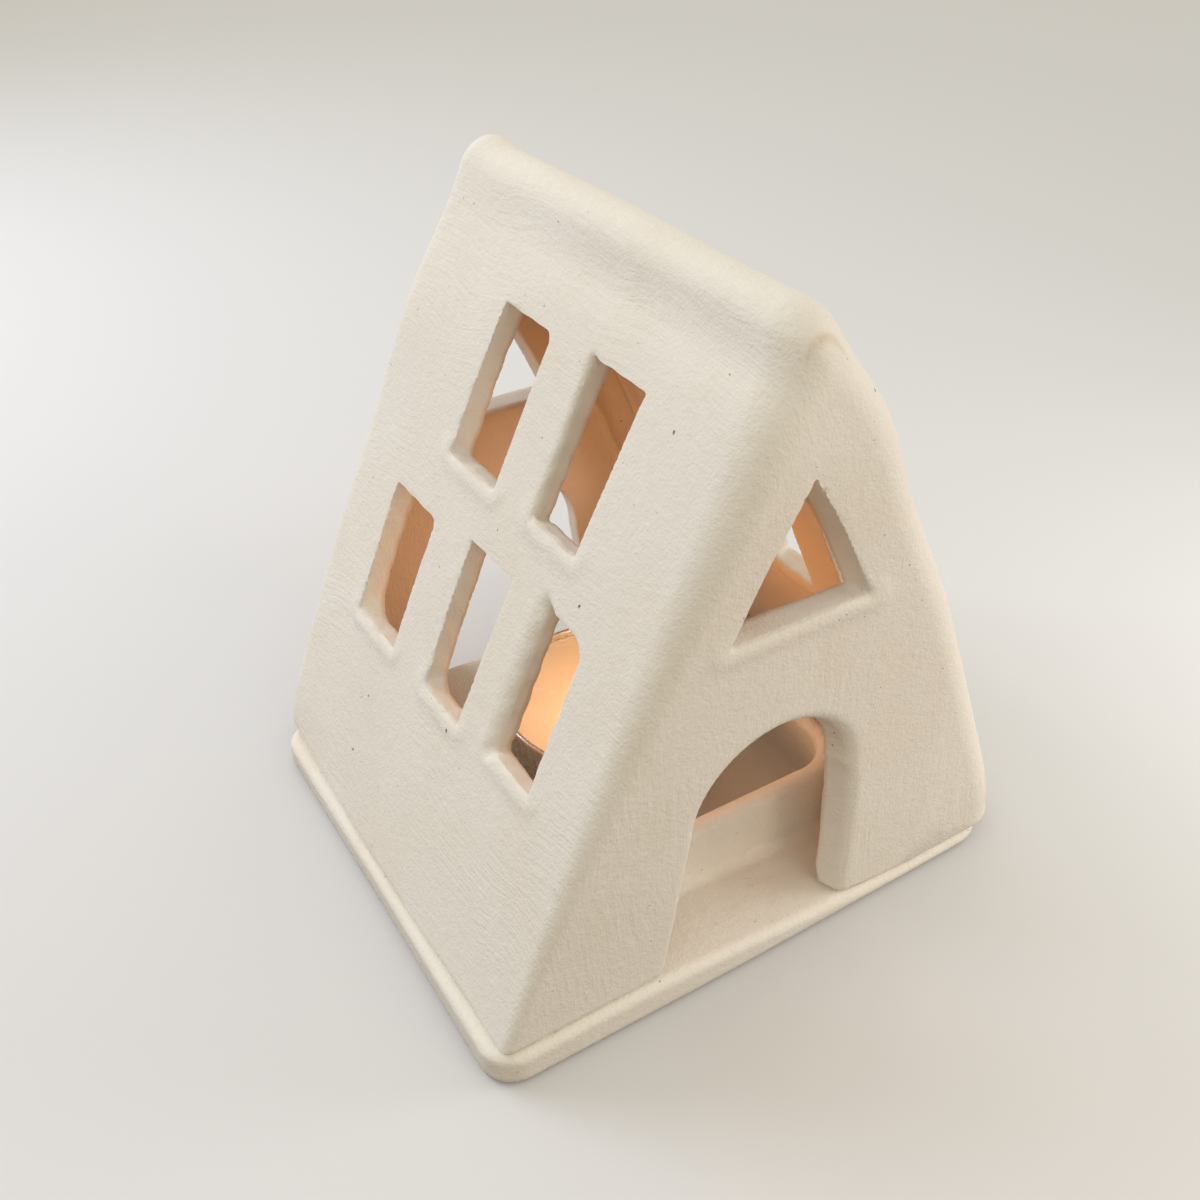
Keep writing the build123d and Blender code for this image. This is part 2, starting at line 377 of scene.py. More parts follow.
def cut_peak_windows(clay, x, y, up):
    """Cut the triangular window near the top of both gables, with bowed sides and a wiped sill.

    The right side of the front one narrows inwards, and the rear one widens inwards.
    """
    sill = np.where(y < 0, PEAK_FRONT_SILL, PEAK_REAR_SILL)
    high = (up - sill) / PEAK_HEIGHT
    lean = PEAK_HEIGHT / math.hypot(PEAK_HEIGHT, PEAK_HALF)
    bow = PEAK_BOW * np.sin(math.pi * np.clip(high, 0, 1))
    depth = np.clip(HALF_DEPTH - np.abs(y), 0, SLAB)
    flare = REAR_FLARE * depth * (y > 0)
    taper = PEAK_TAPER * depth * ((x > PEAK_MIDDLE) & (y < 0)) - flare
    side = (np.abs(x - PEAK_MIDDLE) - PEAK_HALF * (1 - high) + taper) * lean - bow
    foot = sill - up - flare
    opening = rounded_and(side, foot, PEAK_CORNER)
    opening = np.maximum(opening, HALF_DEPTH - 2 * SLAB - np.abs(y))
    wiped = np.clip(1 + foot / 3, 0, 1)
    lip = WIPED_LIP * wiped * np.exp(-((opening - LIP_PLACE) / LIP_REACH) ** 2)
    return rounded_cut(clay - lip, opening, CUT_ARRIS + (WIPED_ARRIS - CUT_ARRIS) * wiped)


def tent_distance(x, y, up):
    """Distance outside the tent: swelling slopes, a hollow below the ridge and a round ridge roll.

    The ridge is a circle that both slopes touch. Half a sine wave up the slope swells it, and a bell curve
    swells the rear of the left slope and the front of the right one's top. Another hollows the left slope
    below the ridge, and a last one pinches up a nub at the ridge's rear end.
    """
    settings = bpy.context.scene.clay_house
    out, run = slope_places(x, up)
    across, above = np.abs(x), up - RIDGE_CENTRE
    roll = np.hypot(across, above) - RIDGE_RADIUS
    tent = np.where(above * SLOPE_X > across * SLOPE_Z, roll, out)
    bulge = settings.bulge / MM * np.maximum(np.sin(math.pi * np.clip(up / BULGE_TOP, 0, 1)), 0) ** 0.8
    bulge += REAR_SWELL * np.exp(-((up - 72) / 11) ** 2) * np.clip((y - 5) / 30, 0, 1) * (x < 0)
    bulge += TOP_SWELL * np.exp(-((up - 81) / 9) ** 2) * np.clip(x / 4, 0, 1) * np.clip((10 - y) / 35, 0, 1)
    bulge += RIDGE_NUB * np.exp(-((y - NUB_PLACE) / 3.5) ** 2) * np.exp(-(across / 5) ** 2) * (up > RIDGE / 2)
    bulge += HIP_PUSH * np.clip((70 - up) / 20, 0, 1) * np.clip((-y - 15) / 20, 0, 1) * (x > 0)
    dip = settings.ridge_dip / MM * np.exp(-((run - DIP_PLACE) / DIP_REACH) ** 2) * (x < 0)
    dip *= np.clip(1.5 - np.abs(y + 18) / (HALF_DEPTH - 10), 0, 1)
    corner = np.sign(-x) * y / HALF_DEPTH
    tuck = settings.foot_tuck / MM * np.clip(1.6 * corner - 0.6, 0, 1) * np.clip(1 - up / 10, 0, 1) ** 2
    return tent - bulge + dip + tuck


def hip_radius(x, y, up):
    """Rounding of the hips: it grows from the foot to the ridge, and starts crisp at the front left."""
    settings = bpy.context.scene.clay_house
    crisp = np.clip(0.5 - x / 10, 0, 1) * np.clip(0.5 - y / 10, 0, 1)
    foot = settings.hip_foot_radius + (settings.crisp_hip_radius - settings.hip_foot_radius) * crisp
    return (foot + (settings.hip_radius - foot) * np.clip(up / RIDGE, 0, 1)) / MM


def house_distance(x, y, z):
    """Signed distance of the house: a rounded tent less its hollow, less the windows and the doors.

    The front gable leans back at its top and is pushed out at its lower right.
    Inside, a bell curve at a wavering distance from each corner leaves the edge of the coil pressed into it.
    """
    settings = bpy.context.scene.clay_house
    up = z - FOOT
    tent = tent_distance(x, y, up)
    run = slope_places(x, up)[1]
    swell = settings.swell / MM
    slow = swell * (waves(x, y, z, SLOW_WAVE, 3) + np.clip((up - 80) / 14, 0, 1))
    ragged = 0.12 * waves(x, y, z, 4, 11)
    lean = settings.apex_lean / MM * np.clip((up - 70) / 26, 0, 1) ** 2
    push = GABLE_PUSH * np.clip((x - 2) / 25, 0, 1) * np.clip((75 - up) / 20, 0, 1)
    ends = np.abs(y) - HALF_DEPTH + (lean - push) * (y < 0)
    body = rounded_and(tent + slow, ends + 0.8 * slow + swell, hip_radius(x, y, up))
    body = rounded_and(body, foot_rise(x, y) - up, settings.foot_radius / MM)
    wall, end = tent + ROOF_WALL, ends + SLAB
    smear = np.minimum(wall, end) + COIL_WIDTH + COIL_WAVER * waves(x, y, z, 18, 8)
    coil_edge = COIL_EDGE * np.exp(-(smear / 0.9) ** 2)
    hollow = rounded_and(wall, end, INNER_ROUND) + coil_edge + swell * waves(x, y, z, 22, 5)
    clay = rounded_cut(body, hollow, 0.8)
    for window in ROOF_WINDOWS:
        clay = cut_roof_window(clay, window, y, tent, run, ragged)
    clay = cut_peak_windows(clay, x, y, up)
    clay = cut_door(clay, x, y, up, FRONT_DOOR, -1)
    return cut_door(clay, x, y, up, REAR_DOOR, 1)


def tray_distance(x, y, z):
    """Signed distance of the tray: a bull-nosed plate with a hollow round up to the strip about the tealight.

    The plate's edges bow out towards their middles, as parabolas. The strip keeps an even distance from a
    line with two rounded bends, across behind the door and back along both sides.
    """
    slow = 0.25 * waves(x, y, z, 45, 21)
    along, back = x / PLATE_HALF[0], y - PLATE_MIDDLE[1]
    side_x = np.abs(x) - PLATE_HALF[0] + 0.9 + slow + 0.7 * along
    side_y = np.abs(back) - PLATE_HALF[1] + 0.3 + slow + 0.4 * along ** 2
    outline = rounded_and(side_x, side_y, PLATE_CORNER + 2.5 * along)
    plate = rounded_and(outline, z - PLATE_HIGH[2] - foot_rise(x, y), PLATE_TOP_ROUND)
    plate = rounded_and(plate, 0.03 - z, PLATE_FOOT_ROUND + 0.3 * along)
    line = rounded_and(np.abs(x - STRIP_MIDDLE) - STRIP_SIDE, STRIP_FRONT - y, STRIP_BEND)
    strip = rounded_and(np.abs(line) - STRIP_HALF + 0.2 + 0.6 * slow, y - SIDE_HIGH[1], 0.9)
    strip = rounded_and(strip, z - STRIP_HIGH[2] + 0.25 + slow, STRIP_TOP_ROUND)
    strip = np.maximum(strip, PLATE_HIGH[2] / 2 - z)
    return rounded_or(plate, strip, STRIP_COVE)


def gradients(distance, points, reach=0.05):
    """Unit outward directions at some points, by central differences of the distance."""
    grad = np.empty_like(points)
    for axis in range(3):
        step = np.zeros(3)
        step[axis] = reach
        grad[:, axis] = distance(*(points + step).T) - distance(*(points - step).T)
    return grad / np.maximum(np.linalg.norm(grad, axis=1, keepdims=True), 1e-9)


def crossings(field, axis):
    """Grid edges along one axis that pass through the skin: lower ends, shares and which end is inside."""
    near = tuple(slice(None, -1) if a == axis else slice(None) for a in range(3))
    far = tuple(slice(1, None) if a == axis else slice(None) for a in range(3))
    hit = np.argwhere((field[near] < 0) != (field[far] < 0))
    low = field[near][tuple(hit.T)].astype(float)
    high = field[far][tuple(hit.T)].astype(float)
    return hit, low / (low - high), low < 0


def skin(distance, low, high, step):
    """Closed skin of a solid by dual contouring.

    Each grid cell that the skin passes through gets one point, the least-squares meeting point of the
    tangent planes where the skin crosses its edges, and each crossed edge gives one quad between its cells.
    """
    axes = [np.arange(a, b + step, step, dtype=np.float32) for a, b in zip(low, high)]
    field = distance(*np.meshgrid(*axes, indexing="ij"))
    cells = np.array(field.shape)
    origin = np.array([axis[0] for axis in axes], float)
    points, quads = [], []
    for axis in range(3):
        hit, share, inside_low = crossings(field, axis)
        spot = hit.astype(float)
        spot[:, axis] += share
        points.append(origin + spot * step)
        side_a, side_b = (axis + 1) % 3, (axis + 2) % 3
        ring = np.repeat(hit[:, None, :], 4, axis=1)
        ring[:, :, side_a] += np.array([-1, 0, 0, -1])
        ring[:, :, side_b] += np.array([-1, -1, 0, 0])
        ring[~inside_low] = ring[~inside_low, ::-1]
        quads.append(np.ravel_multi_index(np.moveaxis(ring, 2, 0), cells))
    points, quads = np.concatenate(points), np.concatenate(quads)
    normals = gradients(distance, points)
    used, index = np.unique(quads, return_inverse=True)
    index = index.reshape(-1, 4)
    owner = index.ravel()
    count = np.bincount(owner)

    def gather(values):
        return np.bincount(owner, np.repeat(values, 4))

    middle = np.stack([gather(points[:, a]) for a in range(3)], axis=1) / count[:, None]
    spread = np.repeat(points, 4, axis=0) - middle[owner]
    facing = np.repeat(normals, 4, axis=0)
    offset = np.einsum("ij,ij->i", facing, spread)
    right = np.stack([np.bincount(owner, facing[:, a] * offset) for a in range(3)], axis=1)
    left = np.empty((len(used), 3, 3))
    for a in range(3):
        for b in range(3):
            left[:, a, b] = np.bincount(owner, facing[:, a] * facing[:, b])
    left += 0.08 * count[:, None, None] * np.eye(3)
    move = np.linalg.solve(left, right[:, :, None])[:, :, 0]
    return (middle + np.clip(move, -step, step)) * MM, index


def mesh_piece(name, verts, faces, body):
    """Put arrays of points and equal-sided faces into a new object that rides on a CAD body."""
    mesh = bpy.data.meshes.new(name)
    sides = faces.shape[1]
    mesh.vertices.add(len(verts))
    mesh.vertices.foreach_set("co", np.ascontiguousarray(verts, np.float32).ravel())
    mesh.loops.add(faces.size)
    mesh.loops.foreach_set("vertex_index", np.ascontiguousarray(faces, np.int32).ravel())
    mesh.polygons.add(len(faces))
    mesh.polygons.foreach_set("loop_start", np.arange(0, faces.size, sides, dtype=np.int32))
    mesh.polygons.foreach_set("use_smooth", np.full(len(faces), True))
    mesh.update(calc_edges=True)
    mesh.validate()
    piece = bpy.data.objects.new(name, mesh)
    bpy.context.scene.collection.objects.link(piece)
    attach(piece, body)
    return piece


def note(mesh, name, values):
    """Keep one number per point as a named attribute."""
    mesh.attributes.new(name, "FLOAT", "POINT").data.foreach_set("value", values.astype(np.float32))


def crease(piece, degrees):
    """Keep edges that turn by more than an angle crisp, and note on each point how far it faces front or back."""
    mesh = piece.data
    mesh.set_sharp_from_angle(angle=math.radians(degrees))
    normals = np.empty(3 * len(mesh.vertices), np.float32)
    mesh.vertex_normals.foreach_get("vector", normals)
    note(mesh, "gable", np.abs(normals[1::3]))


def note_inside(piece):
    """Note on each point of the house how deep it lies below the outer skin, in wall thicknesses."""
    spots = np.empty(3 * len(piece.data.vertices), np.float32)
    piece.data.vertices.foreach_get("co", spots)
    x, y, z = spots.reshape(-1, 3).T / MM
    depth = np.minimum(-tent_distance(x, y, z - FOOT) / ROOF_WALL, (HALF_DEPTH - np.abs(y)) / SLAB)
    note(piece.data, "inside", np.clip(depth, 0, 1))


def thin_to(piece, triangles):
    """Collapse edges on the flatter stretches until a piece has about that many triangles."""
    have = 2 * len(piece.data.polygons)
    if have <= triangles:
        return
    modifier = piece.modifiers.new("thin", "DECIMATE")
    modifier.ratio = triangles / have
    bpy.context.view_layer.update()
    graph = bpy.context.evaluated_depsgraph_get()
    mesh = bpy.data.meshes.new_from_object(piece.evaluated_get(graph))
    piece.modifiers.clear()
    old = piece.data
    piece.data = mesh
    bpy.data.meshes.remove(old)
    mesh.name = piece.name


class Sheet:
    """A short way to lay out shader nodes: each call makes one node and links or sets its inputs."""

    def __init__(self, tree):
        self.tree = tree

    def node(self, kind, inputs=None, **settings):
        made = self.tree.nodes.new(kind)
        for key, value in settings.items():
            setattr(made, key, value)
        for key, value in (inputs or {}).items():
            self.put(made.inputs[key], value)
        return made

    def put(self, socket, value):
        if isinstance(value, bpy.types.NodeSocket):
            self.tree.links.new(value, socket)
        else:
            socket.default_value = value

    def math(self, operation, a, b=0.0, c=0.0):
        return self.node("ShaderNodeMath", {0: a, 1: b, 2: c}, operation=operation).outputs[0]

    def steps(self, value, low, high, to_low=0.0, to_high=1.0):
        made = self.node("ShaderNodeMapRange", {
            "Value": value, "From Min": low, "From Max": high, "To Min": to_low, "To Max": to_high})
        made.interpolation_type = "SMOOTHSTEP"
        return made.outputs["Result"]

    def mix(self, share, a, b):
        made = self.node("ShaderNodeMix", data_type="RGBA")
        self.put(made.inputs[0], share)
        self.put(made.inputs[6], a)
        self.put(made.inputs[7], b)
        return made.outputs[2]

    def noise(self, vector, scale, detail=2.0, rough=0.5):
        made = self.node("ShaderNodeTexNoise", {
            "Vector": vector, "Scale": scale, "Detail": detail, "Roughness": rough})
        return made.outputs["Fac"]


def colour(rgb):
    """A plain colour as the four numbers a socket takes."""
    return (*rgb, 1.0)


def new_group(name, inputs, outputs):
    """A new shader node group with named sockets; returns its sheet, input node and output node."""
    group = bpy.data.node_groups.new(name, "ShaderNodeTree")
    for label, kind in inputs:
        group.interface.new_socket(label, in_out="INPUT", socket_type=kind)
    for label, kind in outputs:
        group.interface.new_socket(label, in_out="OUTPUT", socket_type=kind)
    sheet = Sheet(group)
    return sheet, sheet.node("NodeGroupInput"), sheet.node("NodeGroupOutput")


def pinhole_group():
    """Small round pits scattered at random: a mask, one inside a pit."""
    sheet, given, made = new_group(
        "Pinholes", [("Vector", "NodeSocketVector"), ("Scale", "NodeSocketFloat"), ("Share", "NodeSocketFloat"),
                     ("Radius", "NodeSocketFloat")], [("Mask", "NodeSocketFloat")])
    wobble = sheet.node("ShaderNodeTexNoise", {"Vector": given.outputs["Vector"], "Scale": 1500.0, "Detail": 1.0})
    shift = sheet.node("ShaderNodeVectorMath", {0: wobble.outputs["Color"], 1: (0.5, 0.5, 0.5)}, operation="SUBTRACT")
    nudge = sheet.node("ShaderNodeVectorMath", {0: shift.outputs[0], "Scale": 0.0003}, operation="SCALE")
    place = sheet.node("ShaderNodeVectorMath", {0: given.outputs["Vector"], 1: nudge.outputs[0]}, operation="ADD")
    cells = sheet.node("ShaderNodeTexVoronoi", {"Vector": place.outputs[0], "Scale": given.outputs["Scale"],
                                                "Randomness": 1.0})
    chance = sheet.node("ShaderNodeSeparateColor", {"Color": cells.outputs["Color"]})
    kept = sheet.math("LESS_THAN", chance.outputs["Red"], given.outputs["Share"])
    radius = sheet.math("MULTIPLY", given.outputs["Radius"], sheet.math("ADD", chance.outputs["Green"], 0.35))
    depth = sheet.math("SUBTRACT", 1.0, sheet.math("DIVIDE", cells.outputs["Distance"], radius))
    pit = sheet.steps(depth, 0.0, 0.55)
    sheet.put(made.inputs["Mask"], sheet.math("MULTIPLY", pit, kept))
    return sheet.tree


def brushed_group():
    """Soft brush strokes: stretched noise along a direction that slowly turns, as a height."""
    sheet, given, made = new_group(
        "Brush strokes", [("Vector", "NodeSocketVector"), ("Stroke", "NodeSocketVector"), ("Turn", "NodeSocketFloat")],
        [("Height", "NodeSocketFloat")])
    bend = sheet.node("ShaderNodeTexNoise", {"Vector": given.outputs["Vector"], "Scale": 45.0, "Detail": 1.0})
    shift = sheet.node("ShaderNodeVectorMath", {0: bend.outputs["Color"], 1: (0.5, 0.5, 0.5)}, operation="SUBTRACT")
    turn = sheet.node("ShaderNodeVectorMath", {0: shift.outputs[0], "Scale": given.outputs["Turn"]}, operation="SCALE")
    place = sheet.node("ShaderNodeVectorMath", {0: given.outputs["Vector"], 1: turn.outputs[0]}, operation="ADD")
    long = sheet.node("ShaderNodeVectorMath", {0: place.outputs[0], 1: given.outputs["Stroke"]}, operation="MULTIPLY")
    sheet.put(made.inputs["Height"], sheet.noise(long.outputs[0], 1.0, 3.0, 0.6))
    return sheet.tree


def new_material(name):
    """An empty node material with its principled shader and output."""
    material = bpy.data.materials.new(name)
    material.use_nodes = True
    sheet = Sheet(material.node_tree)
    shader = material.node_tree.nodes["Principled BSDF"]
    place = sheet.node("ShaderNodeTexCoord").outputs["Object"]
    return material, sheet, shader, place


def clay_material():
    """Bisque clay: warm white, faintly blotched, sandy, brushed and pricked with pinholes; the dark colour in the pits
    and the darker, warmer inner walls are painted shade, the inner walls' warmth painted candle light.
    """
    settings = bpy.context.scene.clay_house
    material, sheet, shader, place = new_material("bisque_clay")
    blotch = sheet.steps(sheet.noise(place, 55.0, 3.0, 0.55), 0.40, 0.66)
    fleck = sheet.steps(sheet.noise(place, 620.0, 3.0, 0.6), 0.35, 0.75, 0.0, 0.35)
    tint = sheet.mix(blotch, colour(settings.clay), colour(settings.clay_warm))
    tint = sheet.mix(fleck, tint, colour([1.07 * c for c in settings.clay]))
    # Painted shade and painted candle light: points deep inside the walls take the darker, warmer inside colour
    inside = sheet.node("ShaderNodeAttribute", attribute_name="inside").outputs["Fac"]
    tint = sheet.mix(sheet.steps(inside, 0.72, 0.97), tint, colour(settings.inside_painted_shade))
    pits = sheet.node("ShaderNodeGroup", node_tree=pinhole_group())
    for key, value in (("Vector", place), ("Scale", 250.0), ("Share", 0.30), ("Radius", 0.055)):
        sheet.put(pits.inputs[key], value)
    specks = sheet.node("ShaderNodeGroup", node_tree=pits.node_tree)
    for key, value in (("Vector", place), ("Scale", 600.0), ("Share", 0.25), ("Radius", 0.075)):
        sheet.put(specks.inputs[key], value)
    holes = sheet.math("MAXIMUM", pits.outputs["Mask"], sheet.math("MULTIPLY", specks.outputs["Mask"], 0.5))
    # Painted shade: the pits are coloured dark, and the finer specks at half strength as dark clay specks
    tint = sheet.mix(sheet.math("MULTIPLY", holes, 0.85), tint, colour(settings.pit_shade_and_specks))
    sheet.put(shader.inputs["Base Color"], tint)
    gable = sheet.steps(sheet.node("ShaderNodeAttribute", attribute_name="gable").outputs["Fac"], 0.4, 0.8)
    along = sheet.node("ShaderNodeGroup", node_tree=brushed_group())
    for key, value in (("Vector", place), ("Stroke", (1500.0, 90.0, 1500.0)), ("Turn", 0.010)):
        sheet.put(along.inputs[key], value)
    upright = sheet.node("ShaderNodeGroup", node_tree=along.node_tree)
    for key, value in (("Vector", place), ("Stroke", (1300.0, 1300.0, 90.0)), ("Turn", 0.008)):
        sheet.put(upright.inputs[key], value)
    patch = sheet.steps(sheet.noise(place, 38.0, 1.0), 0.40, 0.62, 0.2, 1.0)
    strokes = sheet.node("ShaderNodeMix", {0: gable, 2: along.outputs["Height"], 3: upright.outputs["Height"]})
    grain = sheet.noise(place, 2300.0, 2.0, 0.6)
    sand = sheet.noise(place, 900.0, 2.0, 0.5)
    height = sheet.math("MULTIPLY_ADD", grain, 0.55, sheet.math("MULTIPLY", sand, 0.5))
    height = sheet.math("MULTIPLY_ADD", sheet.math("MULTIPLY", strokes.outputs[0], patch), 0.8, height)
    height = sheet.math("MULTIPLY_ADD", holes, -3.0, height)
    bump = sheet.node("ShaderNodeBump", {"Height": height, "Strength": 1.0, "Distance": 0.00018})
    sheet.put(shader.inputs["Normal"], bump.outputs[0])
    sheet.put(shader.inputs["Roughness"], sheet.steps(sand, 0.3, 0.7, 0.86, 0.96))
    shader.inputs["Specular IOR Level"].default_value = 0.25
    return material


def turned(profile, segments, axis, ripple=0.0, ripples=0):
    """Turn a profile (radius, height) about an upright axis; its two ends are points on the axis.

    A third column says how much of the ripples, a cosine round the turn, is added to the radius.
    """
    angle = np.linspace(0, 2 * math.pi, segments, endpoint=False)
    rows = profile[1:-1]
    flute = rows[:, 2:3] if rows.shape[1] > 2 else np.zeros((len(rows), 1))
    radius = rows[:, :1] + flute * ripple * np.cos(ripples * angle)
    height = np.broadcast_to(rows[:, 1:2], radius.shape)
    rings = np.stack([axis[0] + radius * np.cos(angle), axis[1] + radius * np.sin(angle), height], axis=2)
    ends = [(axis[0], axis[1], profile[0, 1]), (axis[0], axis[1], profile[-1, 1])]
    return np.concatenate([rings.reshape(-1, 3), ends]), closed_faces(len(rows), segments)


def closed_faces(rows, segments):
    """Triangles between neighbouring rings of points, with a fan to one more point at either end."""
    row = np.arange(rows - 1)[:, None] * segments
    here = np.arange(segments)
    after = (here + 1) % segments
    a, b, c, d = row + here, row + after, row + segments + after, row + segments + here
    sides = np.concatenate([np.stack([a, b, c], axis=2), np.stack([a, c, d], axis=2)]).reshape(-1, 3)
    last = (rows - 1) * segments
    first_end = np.full(segments, rows * segments)
    first = np.stack([first_end, after, here], axis=1)
    second = np.stack([first_end + 1, last + here, last + after], axis=1)
    return np.concatenate([sides, first, second])


def arc(centre, radius, start, end, count):
    """Points on a circular arc in a profile, angles in degrees."""
    angle = np.radians(np.linspace(start, end, count))
    return np.stack([centre[0] + radius * np.cos(angle), centre[1] + radius * np.sin(angle)], axis=1)


def smooth_line(points, count):
    """Evenly spread points on a soft curve through a few profile points (Catmull-Rom)."""
    points = np.asarray(points, float)
    ends = np.concatenate([[2 * points[0] - points[1]], points, [2 * points[-1] - points[-2]]])
    t = np.linspace(0, len(points) - 1, count)
    seg = np.minimum(t.astype(int), len(points) - 2)
    t = (t - seg)[:, None]
    a, b, c, d = (ends[seg + k] for k in range(4))
    return 0.5 * (2 * b + (c - a) * t + (2 * a - 5 * b + 4 * c - d) * t ** 2 + (3 * b - a - 3 * c + d) * t ** 3)


def seen_rays(sheet):
    """One where a ray comes from the camera, a reflection or through glass, and nought where it lights."""
    rays = sheet.node("ShaderNodeLightPath").outputs
    seen = sheet.math("MAXIMUM", rays["Is Camera Ray"], rays["Is Glossy Ray"])
    return sheet.math("MAXIMUM", seen, rays["Is Transmission Ray"])


def simple_material(name, rgb, rough, metallic=0.0, scale=900.0, bump=0.0001):
    """A material with a fine grain in colour, roughness and relief."""
    material, sheet, shader, place = new_material(name)
    grain = sheet.noise(place, scale, 3.0, 0.6)
    sheet.put(shader.inputs["Base Color"], sheet.mix(grain, colour([0.9 * c for c in rgb]), colour(rgb)))
    sheet.put(shader.inputs["Roughness"], sheet.steps(grain, 0.2, 0.8, rough - 0.06, rough + 0.06))
    relief = sheet.node("ShaderNodeBump", {"Height": grain, "Strength": 0.4, "Distance": bump})
    sheet.put(shader.inputs["Normal"], relief.outputs[0])
    shader.inputs["Metallic"].default_value = metallic
    return material


class CLAYHOUSE_OT_shell(bpy.types.Operator):
    """Make the fired clay house as one skin"""

    bl_idname = "clayhouse.shell"
    bl_label = "Clay House"

    def execute(self, context):
        step = context.scene.clay_house.grid / MM
        pad = 2 * step
        low = np.array([-HALF_WIDTH, -HALF_DEPTH - GABLE_PUSH, FOOT - RIGHT_FALL]) - pad
        high = np.array([HALF_WIDTH + HIP_PUSH, HALF_DEPTH, FOOT + RIDGE]) + pad
        verts, faces = skin(house_distance, low, high, step)
        piece = mesh_piece("clay_house", verts, faces, "house")
        thin_to(piece, HOUSE_TRIANGLES)
        crease(piece, CREASE_ANGLE)
        note_inside(piece)
        piece.data.materials.append(bpy.data.materials.get("bisque_clay") or clay_material())
        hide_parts(*HOUSE_NODES)
        return {"FINISHED"}


class CLAYHOUSE_OT_tray(bpy.types.Operator):
    """Make the tray: the plate and the strip round the tealight as one skin"""

    bl_idname = "clayhouse.tray"
    bl_label = "Tray"

    def execute(self, context):
        step = context.scene.clay_house.grid / MM
        pad = 2 * step
        low = PLATE_LOW - pad
        high = np.array([PLATE_HIGH[0], PLATE_HIGH[1], STRIP_HIGH[2]]) + pad
        verts, faces = skin(tray_distance, low, high, step)
        piece = mesh_piece("clay_tray", verts, faces, "base")
        thin_to(piece, TRAY_TRIANGLES)
        crease(piece, CREASE_ANGLE)
        piece.data.materials.append(bpy.data.materials.get("bisque_clay") or clay_material())
        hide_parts(*TRAY_NODES)
        return {"FINISHED"}


